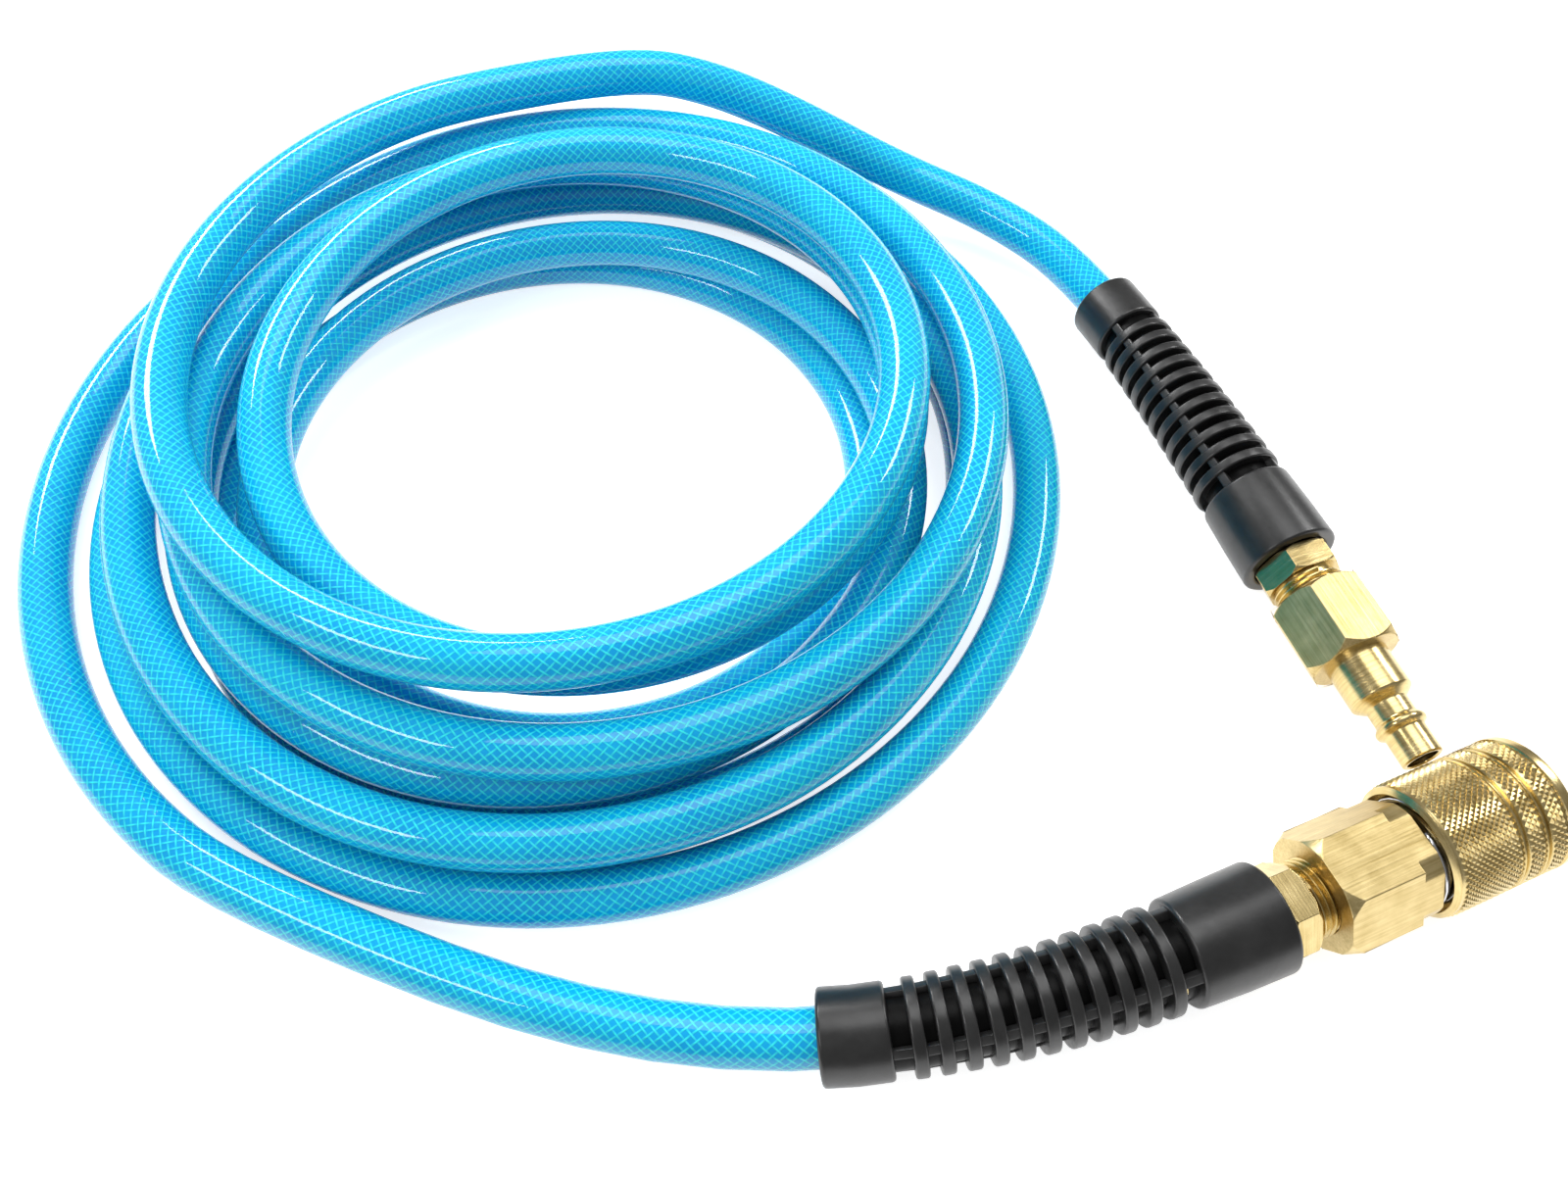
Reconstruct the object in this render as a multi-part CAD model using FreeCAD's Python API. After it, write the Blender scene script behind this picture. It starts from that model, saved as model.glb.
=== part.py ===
import FreeCAD, Part
import math
import os

os.makedirs("parts", exist_ok=True)
V = FreeCAD.Vector

# Coiled air hose: braided hose in a four-layer coil, a quick coupler at one end and a plug at
# the other. Millimetres, Z up, the floor at Z 0. The coupler's and the plug's own pieces are
# drawn along X, with X 0 at the wide rim of their bend restrictor, and are then set in place.

# hose
hose_od = 10.0          # across the flats of the drawn section
hose_bore = 6.5
hose_sides = 8
layer_rise = 10.5       # height from one layer of the coil to the next

# the coil's middle, in the part's frame
coil_x = -32.8
coil_y = 6.8

# coil: turns wound, radius, and how far the turn's centre lies from the coil's middle
first_turn_angle = -109.0
coil_shape = [
    (0.00, 110.0, -3.0, 6.0),
    (0.70, 98.0, 0.0, 4.0),
    (1.15, 96.0, 0.0, 3.0),
    (2.95, 57.0, 0.0, -6.0),
    (4.70, 83.5, 1.0, -2.0),
    (5.25, 89.0, 1.0, -0.5),
    (6.00, 79.0, 2.0, 5.0),
    (7.20, 57.0, 3.0, 2.0),
    (8.41, 80.5, -1.0, 11.0),
]
turn_back = [2.95, 5.25, 7.20]      # turns at which the spiral reverses and climbs a layer
climb_turns = 0.5
bend_step = 0.25                    # turns covered by each pair of arcs

# free stretches: the first straight run leaves the coil in line with it, and the corners after
# it, up to the fittings, are measured from the coil's middle
coupler_first_run = 56.8
plug_first_run = 20.0
plug_route = [
    (28.0, 96.5, 31.5),
    (47.0, 93.0, 24.5),
    (72.0, 87.5, 13.0),
    (95.5, 78.0, 8.5),
]
corner_share = 0.45                 # of the shorter run, taken by the arc at a corner

# fittings: wide rim of each bend restrictor, from the coil's middle, and its heading
coupler_rim = (125.5, -98.9, 12.2)
coupler_heading = 23.0
plug_rim = (145.7, -25.5, 9.8)
plug_heading = -71.0
plug_bend = 2.5
plug_bend_drop = 2.9
plug_lead = 13.9                    # straight hose before the plug's restrictor

# bend restrictor
guard_len = 78.0
guard_bend_at = 41.0                # from the wide rim to the bend
guard_wide_len = 17.5
guard_narrow_len = 11.5
guard_wide_r = 9.8
guard_rib_wide_r = 9.3
guard_narrow_r = 7.9
guard_core_wall = 1.1
guard_gap = 0.3                     # hose to core, across the flats
guard_ribs = 11
guard_rib_w = 2.2
guard_rib_sides = 16
guard_bars = 4
guard_bar_w = 1.8
guard_bar_drop = 0.7                # bars below the ribs' rims
guard_edge = 0.8
guard_bar_root = 0.2                # bars set into the core
guard_overlap = 0.5                 # bars run into both collars
guard_core_overlap = 1.0            # core runs into both collars

# stem and ferrule
stem_bore_r = 2.2
stem_barbs = 3
stem_barb_rise = 0.35
stem_len = 20.0                     # in the hose
small_hex_af = 14.3
small_hex_len = 5.5
hex_chamfer = 0.8
pipe_r = 6.85                       # tapered pipe thread, at its large end
pipe_len = 12.0
pipe_relief = 1.0
pipe_relief_drop = 0.8
pipe_taper = 1.0 / 32.0
pipe_gap = 0.03
pipe_shown = 3.5                    # thread left outside the mating hex
ferrule_flange = 1.2
ferrule_wall = 1.0
ferrule_len = 20.0
ferrule_gap = 0.05

# coupler hex
hex_af = 20.0
hex_len = 18.2
hex_turned_r = 10.6
hex_turned_len = 4.0
hex_rear_r = 10.3
hex_rear_len = 2.3
chamber_depth = 9.5                 # pipe thread's bore
chamber_r = 5.2
chamber_len = 1.5

# valve guide
guide_t = 1.5
guide_hub_r = 2.6
guide_hub_len = 2.5
guide_slots = 3
guide_slot_r = 1.3
guide_slot_at = 4.0

# coupler barrel
barrel_r = 8.8
barrel_rear_r = 8.6
barrel_wall_gap = 0.05
barrel_front = 52.5
socket_r = 6.02                     # takes the plug's barrel
socket_guide_len = 6.4              # behind the mouth's chamfer, up to the balls
socket_relief_r = 6.2               # from there to the bottom
socket_chamfer = 0.8
nose_bore_r = 4.15                  # takes the plug's nose
nose_wall = 1.2
valve_bore_r = 6.6
seal_t = 2.0
seal_r = 3.65
seal_gap = 0.05
ring_groove_r = 8.2
ring_t = 1.0
ring_r = 9.6
ring_gap = 0.05

# locking balls
balls = 4
ball_r = 2.0
ball_facet_share = 0.85             # across the flats, of the true ball
ball_plane = 43.25
ball_out = 1.16                     # travel
ball_hole_gap = 0.05
ball_lip_gap = 0.036
ball_cone_short = 0.24              # the hole's cone ends this far inside the ball's centre
ring_to_front = 1.4                 # snap ring's groove from the barrel's front
seal_lip = 0.4

# sleeve
sleeve_rear_r = 11.5
sleeve_r = 12.2
sleeve_rim_gap = 1.1                # rear rim to the hex's front face
sleeve_front = 53.5
sleeve_edge = 0.7
sleeve_skirt_gap = 0.2
sleeve_skirt_len = 3.6
sleeve_fit = 0.06
sleeve_ball_gap = 0.02
sleeve_ramp_back = 0.5
sleeve_ramp_slope = 30.0
sleeve_relief_gap = 0.1
sleeve_land = 1.4
sleeve_ring_gap = 0.3
sleeve_grooves = [42.3, 47.0]
sleeve_groove_w = 0.9
sleeve_groove_d = 0.45

# sleeve spring and valve spring, each drawn as the tube its coils fill
spring_gap = 0.2
spring_wire = 1.0
spring_seat_gap = 0.05
spring_end = 37.0
valve_spring_r = 4.0
valve_spring_wire = 0.7

# valve poppet
poppet_r = 5.2
poppet_t = 2.45
poppet_nose_r = 3.0
poppet_nose_len = 0.7
poppet_stem_r = 1.5
poppet_stem_gap = 0.06
poppet_seat_gap = 0.03
poppet_travel = 3.5
poppet_stem_short = 1.0             # stem's end inside the guide when the valve is open
poppet_nose_cone = 0.5

# plug
plug_hex_af = 17.0
plug_hex_len = 15.0
plug_barrel_r = 5.95
plug_barrel_len = 9.0
plug_neck_r = 4.0
plug_neck_len = 4.5
plug_step = 1.2
plug_collar_r = 4.85
plug_collar_len = 2.5
plug_collar_flat = 0.9
plug_tip_r = 3.875
plug_len = 22.0
plug_bore_r = 2.9
plug_edge = 0.5
plug_hex_clear = 1.0                # hex to the sleeve when the plug is home
nose_past_seal = 2.0                # nose beyond the seal when the plug is home
plug_rear_chamfer = 1.2
plug_front_chamfer = 1.6
plug_drill_cone = 2.0


def turned(profile):
    # solid of revolution about X through (station, radius) corners
    corners = [V(u, 0, r) for u, r in profile]
    face = Part.Face(Part.makePolygon(corners + [corners[0]]))
    return face.revolve(V(0, 0, 0), V(1, 0, 0), 360)


def rod(start, end, radius):
    return Part.makeCylinder(radius, end - start, V(start, 0, 0), V(1, 0, 0))


def tube(start, end, inner, outer):
    return rod(start, end, outer).cut(rod(start, end, inner))


def hexagon(start, end, across_flats):
    corner = across_flats / 2 / math.cos(math.radians(30))
    ring = []
    for k in range(6):
        angle = math.radians(60 * k + 30)
        ring.append(V(start, corner * math.sin(angle), corner * math.cos(angle)))
    face = Part.Face(Part.makePolygon(ring + [ring[0]]))
    return face.extrude(V(end - start, 0, 0))


def heading_vector(heading, slope=0.0):
    level = math.cos(math.radians(slope))
    along = math.radians(heading)
    return V(level * math.cos(along), level * math.sin(along), math.sin(math.radians(slope)))


def from_coil(point):
    return V(point[0] + coil_x, point[1] + coil_y, point[2])


def set_in_place(shape, rim, heading):
    placed = shape.copy()
    move = FreeCAD.Placement(from_coil(rim), FreeCAD.Rotation(V(0, 0, 1), heading))
    placed.Placement = move.multiply(shape.Placement)
    return placed


def save(shape, node):
    shape.exportStep("parts/" + node + ".step")


# coil

def shape_at(turn):
    last = len(coil_shape) - 2
    for k in range(last + 1):
        begin, finish = coil_shape[k], coil_shape[k + 1]
        if turn <= finish[0] or k == last:
            share = (turn - begin[0]) / (finish[0] - begin[0])
            return [a + (b - a) * share for a, b in zip(begin[1:], finish[1:])]


def coil_point(turn):
    # the listed shape, averaged over half a turn so that each reversal is round
    samples = 9
    radius, shift_x, shift_y = 0.0, 0.0, 0.0
    for k in range(samples):
        near = turn + climb_turns / 2 * (2.0 * k / (samples - 1) - 1)
        near = min(max(near, 0.0), coil_shape[-1][0])
        values = shape_at(near)
        radius += values[0] / samples
        shift_x += values[1] / samples
        shift_y += values[2] / samples
    height = hose_od / 2
    for turn_of_climb in turn_back:
        share = min(max((turn - turn_of_climb) / climb_turns + 0.5, 0.0), 1.0)
        height += layer_rise * share * share * (3 - 2 * share)
    angle = math.radians(first_turn_angle - 360 * turn)
    side = shift_x + radius * math.cos(angle)
    depth = shift_y + radius * math.sin(angle)
    return from_coil((side, depth, height))


def coil_heading(turn):
    near = 1e-3
    first = coil_point(max(turn - near, 0.0))
    second = coil_point(min(turn + near, coil_shape[-1][0]))
    return (second - first).normalize()


def arc_between(start, heading, end):
    chord = end - start
    share = heading.dot(chord) / chord.Length
    bend = math.acos(max(-1.0, min(1.0, share)))
    side = (heading - chord * (share / chord.Length)).normalize()
    middle = (start + end) * 0.5 + side * (0.5 * chord.Length * math.tan(bend / 2))
    return Part.Arc(start, middle, end).toShape()


def two_arcs(start, start_heading, end, end_heading):
    # a pair of arcs of equal reach that leaves one heading and meets the other
    chord = end - start
    both = start_heading + end_heading
    spread = 2 * (1 - start_heading.dot(end_heading))
    reach = (math.sqrt(both.dot(chord) ** 2 + spread * chord.dot(chord)) - both.dot(chord)) / spread
    middle = (start + start_heading * reach + end - end_heading * reach) * 0.5
    first = arc_between(start, start_heading, middle)
    second = arc_between(middle, middle_heading(start, start_heading, middle), end)
    return [first, second]


def middle_heading(start, heading, middle):
    chord = (middle - start).normalize()
    return (chord * (2 * heading.dot(chord)) - heading).normalize()


def coil_stations():
    # arcs end where each climb begins, at its middle and at its end
    marks = [0.0]
    for turn_of_climb in turn_back:
        marks += [turn_of_climb - climb_turns / 2, turn_of_climb, turn_of_climb + climb_turns / 2]
    marks.append(coil_shape[-1][0])
    stations = [0.0]
    for begin, finish in zip(marks, marks[1:]):
        count = int(math.ceil((finish - begin) / bend_step - 1e-6))
        for k in range(count):
            stations.append(begin + (finish - begin) * (k + 1) / count)
    return stations


def coil_wire():
    stations = coil_stations()
    points = [coil_point(turn) for turn in stations]
    headings = [coil_heading(turn) for turn in stations]
    lead_in = points[0] - headings[0] * hose_od
    lead_out = points[-1] + headings[-1] * hose_od
    edges = [Part.LineSegment(lead_in, points[0]).toShape()]
    for k in range(len(points) - 1):
        edges += two_arcs(points[k], headings[k], points[k + 1], headings[k + 1])
    edges.append(Part.LineSegment(points[-1], lead_out).toShape())
    return Part.Wire(edges), lead_in, headings[0], lead_out, headings[-1]


def flat_sided(centre, heading, across_flats, sides):
    # polygon square to the heading, flat side down
    corner = across_flats / 2 / math.cos(math.pi / sides)
    across = heading.cross(V(0, 0, 1)).normalize()
    up = across.cross(heading)
    ring = []
    for k in range(sides):
        angle = 2 * math.pi * (k + 0.5) / sides
        ring.append(centre + (across * math.cos(angle) + up * math.sin(angle)) * corner)
    return Part.makePolygon(ring + [ring[0]])


def swept(wire, centre, heading, across_flats, sides=hose_sides):
    return wire.makePipeShell([flat_sided(centre, heading, across_flats, sides)], True, False)


# free stretches

def rounded_route(name, points):
    # straight runs with a tangent arc at each corner
    edges = []
    here = points[0]
    radii = []
    for k in range(1, len(points) - 1):
        before = points[k] - points[k - 1]
        after = points[k + 1] - points[k]
        reach = corner_share * min(before.Length, after.Length)
        enter = points[k] - before.normalize() * reach
        leave = points[k] + after.normalize() * reach
        turn = before.getAngle(after)
        radii.append(round(reach / math.tan(turn / 2)))
        edges.append(Part.LineSegment(here, enter).toShape())
        edges.append(arc_between(enter, before, leave))
        here = leave
    edges.append(Part.LineSegment(here, points[-1]).toShape())
    print(name, "arc radii", radii)
    return Part.Wire(edges)


def guard_corner(rim, heading):
    return from_coil(rim) - heading_vector(heading) * guard_bend_at


def part_of_route(wire, from_end, to_end):
    # the stretch of a route between two distances from its far end
    length = wire.Length
    edges = []
    passed = 0.0
    for edge in wire.OrderedEdges:
        low = max(length - from_end - passed, 0.0)
        high = min(length - to_end - passed, edge.Length)
        if high - low > 1e-6:
            begin = edge.getParameterByLength(low)
            finish = edge.getParameterByLength(high)
            edges.append(edge.Curve.toShape(begin, finish))
        passed += edge.Length
    return Part.Wire(edges)


def place_on_route(wire, from_end):
    reach = wire.Length - from_end
    for edge in wire.OrderedEdges:
        if reach <= edge.Length + 1e-6:
            spot = edge.getParameterByLength(reach)
            return edge.valueAt(spot), edge.tangentAt(spot).normalize()
        reach -= edge.Length


# fittings' shared pieces

hose_end = -ferrule_flange
pipe_start = small_hex_len + pipe_relief
mate_start = small_hex_len + pipe_shown


def pipe_radius(station, gap=0.0):
    return pipe_r + gap - (station - pipe_start) * pipe_taper


def barb_profile():
    root = hose_bore / 2
    start = hose_end - stem_len
    pitch = stem_len / (stem_barbs + 1)
    points = [(start, root - stem_barb_rise)]
    for k in range(stem_barbs):
        crest = start + (k + 1) * pitch
        points += [(crest, root + stem_barb_rise), (crest, root)]
    return points


def spigot():
    start = hose_end - stem_len
    points = barb_profile() + [(hose_end, hose_bore / 2), (hose_end, 0), (start, 0)]
    return turned(points)


def stem():
    start = hose_end - stem_len
    tip = small_hex_len + pipe_len
    neck = hose_bore / 2
    outline = barb_profile() + [
        (0, neck), (small_hex_len, neck),
        (small_hex_len, pipe_r - pipe_relief_drop),
        (pipe_start, pipe_r - pipe_relief_drop), (pipe_start, pipe_r),
        (tip, pipe_radius(tip)), (tip, stem_bore_r), (start, stem_bore_r),
    ]
    body = turned(outline)
    corner = small_hex_af / 2 / math.cos(math.radians(30))
    limit = turned([
        (0, stem_bore_r), (0, corner - hex_chamfer), (hex_chamfer, corner),
        (small_hex_len - hex_chamfer, corner), (small_hex_len, corner - hex_chamfer),
        (small_hex_len, stem_bore_r),
    ])
    return body.fuse(hexagon(0, small_hex_len, small_hex_af).common(limit)).removeSplitter()


hose_corner_r = hose_od / 2 / math.cos(math.pi / hose_sides)
ferrule_inner_r = hose_corner_r + ferrule_gap
ferrule_r = ferrule_inner_r + ferrule_wall


def ferrule():
    start = hose_end - ferrule_len
    neck = hose_bore / 2 + ferrule_gap
    return turned([
        (start, ferrule_inner_r), (start, ferrule_r), (0, ferrule_r),
        (0, neck), (hose_end, neck), (hose_end, ferrule_inner_r),
    ])


def disc_on_route(wire, from_end, width, radius, sides):
    spot, heading = place_on_route(wire, from_end)
    start = spot - heading * (width / 2)
    corner_af = 2 * radius * math.cos(math.pi / sides)
    face = Part.Face(flat_sided(start, heading, corner_af, sides))
    return face.extrude(heading * width)


def bend_restrictor(route, rim, heading):
    # route ends at the hose's end, hose_end before the rim
    def from_hose_end(back):
        return back + hose_end

    narrow = guard_len
    ribs_from = guard_wide_len
    ribs_to = guard_len - guard_narrow_len
    core_af = hose_od + 2 * guard_gap + 2 * guard_core_wall
    core_wire = part_of_route(route, from_hose_end(narrow - guard_core_overlap),
                              from_hose_end(ribs_from - guard_core_overlap))
    spot, along = place_on_route(route, from_hose_end(narrow - guard_core_overlap))
    solid = swept(core_wire, spot, along, core_af)

    # wide collar, square to the fitting
    wide = turned([
        (-guard_wide_len, 0), (-guard_wide_len, guard_rib_wide_r),
        (-guard_edge, guard_wide_r), (0, guard_wide_r - guard_edge), (0, 0),
    ])
    solid = solid.fuse(set_in_place(wide, rim, heading))

    # narrow collar, square to the hose where it enters
    middle, along = place_on_route(route, from_hose_end(narrow - guard_narrow_len / 2))
    start = middle - along * (guard_narrow_len / 2)
    narrow_solid = Part.makeCylinder(guard_narrow_r, guard_narrow_len, start, along)
    solid = solid.fuse(narrow_solid)

    # ribs and the bars between them
    pitch = (ribs_to - ribs_from) / (guard_ribs + 1)
    rib_rise = (guard_rib_wide_r - guard_narrow_r) / (guard_ribs + 1)
    bars_wire = part_of_route(route, from_hose_end(ribs_to + guard_overlap),
                              from_hose_end(ribs_from - guard_overlap))
    spot, along = place_on_route(route, from_hose_end(ribs_to + guard_overlap))
    across = along.cross(V(0, 0, 1)).normalize()
    up = across.cross(along)
    low = core_af / 2 - guard_bar_root
    high = guard_narrow_r - guard_bar_drop
    additions = []
    for k in range(guard_bars):
        angle = 2 * math.pi * (k + 0.5) / guard_bars
        out = across * math.cos(angle) + up * math.sin(angle)
        side = along.cross(out) * (guard_bar_w / 2)
        corners = [spot + out * low - side, spot + out * high - side,
                   spot + out * high + side, spot + out * low + side]
        profile = Part.makePolygon(corners + [corners[0]])
        additions.append(bars_wire.makePipeShell([profile], True, False))
    for k in range(guard_ribs):
        radius = guard_rib_wide_r - rib_rise * (k + 1)
        at = from_hose_end(ribs_from + pitch * (k + 1))
        additions.append(disc_on_route(route, at, guard_rib_w, radius, guard_rib_sides))
    solid = solid.fuse(additions)

    # hose bore, and the ferrule's seat in the wide end
    spot, along = place_on_route(route, from_hose_end(narrow + 1))
    bore_wire = part_of_route(route, from_hose_end(narrow + 1), 0)
    solid = solid.cut(swept(bore_wire, spot, along, hose_od + 2 * guard_gap))
    seat = rod(hose_end - ferrule_len - ferrule_gap, 1, ferrule_r + ferrule_gap)
    return solid.cut(set_in_place(seat, rim, heading)).removeSplitter()


# coupler

hex_start = mate_start
hex_end = hex_start + hex_len
chamber_start = hex_start + chamber_depth
guide_start = chamber_start + chamber_len
barrel_start = guide_start + guide_t


def coupler_hex():
    corner = hex_af / 2 / math.cos(math.radians(30))
    turned_from = hex_end - hex_turned_len
    limit = turned([
        (hex_start, 0), (hex_start, hex_rear_r), (hex_start + hex_rear_len, corner),
        (turned_from, corner), (turned_from, hex_turned_r), (hex_end, hex_turned_r),
        (hex_end, 0),
    ])
    body = hexagon(hex_start, hex_end, hex_af).common(limit)
    threaded = turned([
        (hex_start, 0), (hex_start, pipe_radius(hex_start, pipe_gap)),
        (chamber_start, pipe_radius(chamber_start, pipe_gap)), (chamber_start, 0),
    ])
    front = barrel_rear_r + barrel_wall_gap
    body = body.cut(threaded)
    body = body.cut(rod(chamber_start, guide_start, chamber_r))
    return body.cut(rod(guide_start, hex_end, front))


def valve_guide():
    disc = rod(guide_start, barrel_start, barrel_rear_r)
    hub = rod(guide_start, barrel_start + guide_hub_len, guide_hub_r)
    hole = rod(guide_start, barrel_start + guide_hub_len, poppet_stem_r + poppet_stem_gap)
    solid = disc.fuse(hub).cut(hole)
    for k in range(guide_slots):
        angle = 2 * math.pi * k / guide_slots
        centre = V(guide_start, guide_slot_at * math.cos(angle), guide_slot_at * math.sin(angle))
        solid = solid.cut(Part.makeCylinder(guide_slot_r, guide_t, centre, V(1, 0, 0)))
    return solid


sleeve_bore_r = barrel_r + sleeve_fit
ball_at = sleeve_bore_r - sleeve_ball_gap - ball_r
nose_in = plug_len - plug_hex_clear
nose_stop = sleeve_front - nose_in
seal_end = nose_stop + seal_t + nose_past_seal
seal_start = seal_end - seal_t
ring_start = barrel_front - ring_t - ring_to_front
ring_seat = ring_start - ring_gap
guide_end = barrel_front - socket_chamfer - socket_guide_len


def ball_hole(direction):
    lip_r = math.sqrt(ball_r ** 2 - (ball_at - socket_relief_r) ** 2) + ball_lip_gap
    wide_r = ball_r + ball_hole_gap
    cone_end = ball_at - ball_cone_short
    base = V(ball_plane, 0, 0)
    lip = Part.makeCylinder(lip_r, socket_relief_r, base, direction)
    cone_start = base + direction * socket_relief_r
    cone = Part.makeCone(lip_r, wide_r, cone_end - socket_relief_r, cone_start, direction)
    wide = Part.makeCylinder(wide_r, barrel_r + 1 - cone_end, base + direction * cone_end, direction)
    return lip.fuse([cone, wide])


def eight_sided(centre, axis, toward, across_flats):
    corner = across_flats / 2 / math.cos(math.pi / 8)
    side = axis.cross(toward).normalize()
    ring = []
    for k in range(8):
        angle = math.pi * (k + 0.5) / 4
        ring.append(centre + (toward * math.cos(angle) + side * math.sin(angle)) * corner)
    return Part.makePolygon(ring + [ring[0]])


def ball_directions():
    found = []
    for k in range(balls):
        angle = 2 * math.pi * (k + 0.5) / balls
        found.append(V(0, math.cos(angle), math.sin(angle)))
    return found


def coupler_barrel():
    outline = [
        (barrel_start, valve_bore_r), (barrel_start, barrel_rear_r), (hex_end, barrel_rear_r),
        (hex_end, barrel_r), (ring_seat, barrel_r), (ring_seat, ring_groove_r),
        (ring_start + ring_t + ring_gap, ring_groove_r), (ring_start + ring_t + ring_gap, barrel_r),
        (barrel_front, barrel_r), (barrel_front, socket_r + socket_chamfer),
        (barrel_front - socket_chamfer, socket_r), (guide_end, socket_r),
        (guide_end, socket_relief_r), (seal_end + nose_wall, socket_relief_r),
        (seal_end + nose_wall, nose_bore_r), (seal_end, nose_bore_r), (seal_end, valve_bore_r),
    ]
    solid = turned(outline)
    for direction in ball_directions():
        solid = solid.cut(ball_hole(direction))
    return solid


def locking_ball(direction):
    # 26 flats that stay inside the true ball, because there are several balls
    flats = 2 * ball_r * ball_facet_share
    around = V(1, 0, 0).cross(direction)
    ball = None
    for axis in (V(1, 0, 0), direction, around):
        start = axis * (-flats / 2)
        section = Part.Face(eight_sided(start, axis, direction if axis.x else V(1, 0, 0), flats))
        prism = section.extrude(axis * flats)
        ball = ball.common(prism) if ball else prism
    ball.translate(V(ball_plane, 0, 0) + direction * ball_at)
    return ball


def socket_seal():
    outer = valve_bore_r - seal_gap
    return turned([
        (seal_start, seal_r), (seal_start, outer), (seal_end, outer),
        (seal_end, seal_r + seal_lip), (seal_end - seal_lip, seal_r),
    ])


poppet_front = seal_start - poppet_seat_gap
poppet_rear = poppet_front - poppet_t
hub_front = barrel_start + guide_hub_len


def valve_poppet():
    # the nose stands in the seal's bore, the rim closes on the seal
    stem_end = guide_start + poppet_travel - poppet_stem_short
    return turned([
        (stem_end, 0), (stem_end, poppet_stem_r), (poppet_rear, poppet_stem_r),
        (poppet_rear, poppet_r), (poppet_front, poppet_r), (poppet_front, poppet_nose_r),
        (poppet_front + poppet_nose_len, poppet_nose_r - poppet_nose_cone), (poppet_front + poppet_nose_len, 0),
    ])


def valve_spring():
    return tube(barrel_start + spring_seat_gap, poppet_rear - spring_seat_gap,
                valve_spring_r - valve_spring_wire, valve_spring_r)


sleeve_start = hex_end + sleeve_rim_gap
spring_inner = barrel_r + spring_gap
spring_outer = spring_inner + spring_wire


def sleeve():
    rear_in = hex_turned_r + sleeve_skirt_gap
    spring_room = spring_outer + spring_gap
    ramp_start = ball_plane - sleeve_ramp_back
    relief = ball_at + ball_out + ball_r + sleeve_relief_gap
    ramp_end = ramp_start + (relief - sleeve_bore_r) / math.tan(math.radians(sleeve_ramp_slope))
    ring_room = ring_r + sleeve_ring_gap
    rim_in = sleeve_start + sleeve_edge
    outline = [(sleeve_start, rear_in), (sleeve_start, sleeve_rear_r - sleeve_edge / 2),
               (rim_in, sleeve_rear_r)]
    for centre in sleeve_grooves:
        half = sleeve_groove_w / 2
        outline += [(centre - half, sleeve_r), (centre, sleeve_r - sleeve_groove_d),
                    (centre + half, sleeve_r)]
    outline += [
        (sleeve_front - sleeve_edge, sleeve_r), (sleeve_front, sleeve_r - sleeve_edge),
        (sleeve_front, ring_room), (ring_start, ring_room), (ring_start, sleeve_bore_r),
        (ring_start - sleeve_land, sleeve_bore_r), (ring_start - sleeve_land, relief),
        (ramp_end, relief), (ramp_start, sleeve_bore_r), (spring_end, sleeve_bore_r),
        (spring_end, spring_room), (sleeve_start + sleeve_skirt_len, spring_room),
        (sleeve_start + sleeve_skirt_len, rear_in),
    ]
    return turned(outline)


def sleeve_spring():
    return tube(hex_end + spring_seat_gap, spring_end - spring_seat_gap, spring_inner, spring_outer)


def snap_ring():
    return tube(ring_start, ring_start + ring_t, ring_groove_r + ring_gap, ring_r)


# plug

def plug():
    start = mate_start
    hex_stop = start + plug_hex_len
    corner = plug_hex_af / 2 / math.cos(math.radians(30))
    limit = turned([
        (start, 0), (start, plug_hex_af / 2), (start + plug_rear_chamfer, corner),
        (hex_stop - plug_front_chamfer, corner), (hex_stop, plug_hex_af / 2), (hex_stop, 0),
    ])
    body = hexagon(start, hex_stop, plug_hex_af).common(limit)
    barrel_end = hex_stop + plug_barrel_len
    neck_end = barrel_end + plug_neck_len
    collar_end = neck_end + plug_collar_len
    tip = hex_stop + plug_len
    collar_in = (plug_collar_len - plug_collar_flat) / 2
    nose = turned([
        (hex_stop, 0), (hex_stop, plug_barrel_r), (barrel_end - plug_edge, plug_barrel_r),
        (barrel_end, plug_barrel_r - plug_edge), (barrel_end + plug_step, plug_neck_r),
        (neck_end, plug_neck_r), (neck_end + collar_in, plug_collar_r),
        (collar_end - collar_in, plug_collar_r), (collar_end, plug_tip_r),
        (tip - plug_edge / 2, plug_tip_r), (tip, plug_tip_r - plug_edge / 2), (tip, 0),
    ])
    body = body.fuse(nose)
    pipe_stop = start + chamber_depth
    threaded = turned([
        (start, 0), (start, pipe_radius(start, pipe_gap)),
        (pipe_stop, pipe_radius(pipe_stop, pipe_gap)), (pipe_stop + plug_drill_cone, plug_bore_r),
        (tip, plug_bore_r), (tip, 0),
    ])
    return body.cut(threaded).removeSplitter()


# build

wire, lead_in, in_heading, lead_out, out_heading = coil_wire()
coil = swept(wire, lead_in, in_heading, hose_od)
save(coil, "hose_coil")

coupler_end = from_coil(coupler_rim) + heading_vector(coupler_heading) * hose_end
coupler_corner = guard_corner(coupler_rim, coupler_heading)
coupler_points = [
    lead_in, lead_in - in_heading * coupler_first_run, coupler_corner, coupler_end]

plug_end = from_coil(plug_rim) + heading_vector(plug_heading) * hose_end
plug_corner = guard_corner(plug_rim, plug_heading)
plug_enter = plug_corner - heading_vector(plug_heading + plug_bend, plug_bend_drop) * (
    guard_len - guard_bend_at + plug_lead)
plug_points = [lead_out, lead_out + out_heading * plug_first_run]
plug_points += [from_coil(p) for p in plug_route]
plug_points += [plug_enter, plug_corner, plug_end]

coupler_wire = rounded_route("coupler stretch", coupler_points)
plug_wire = rounded_route("plug stretch", plug_points)

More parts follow.
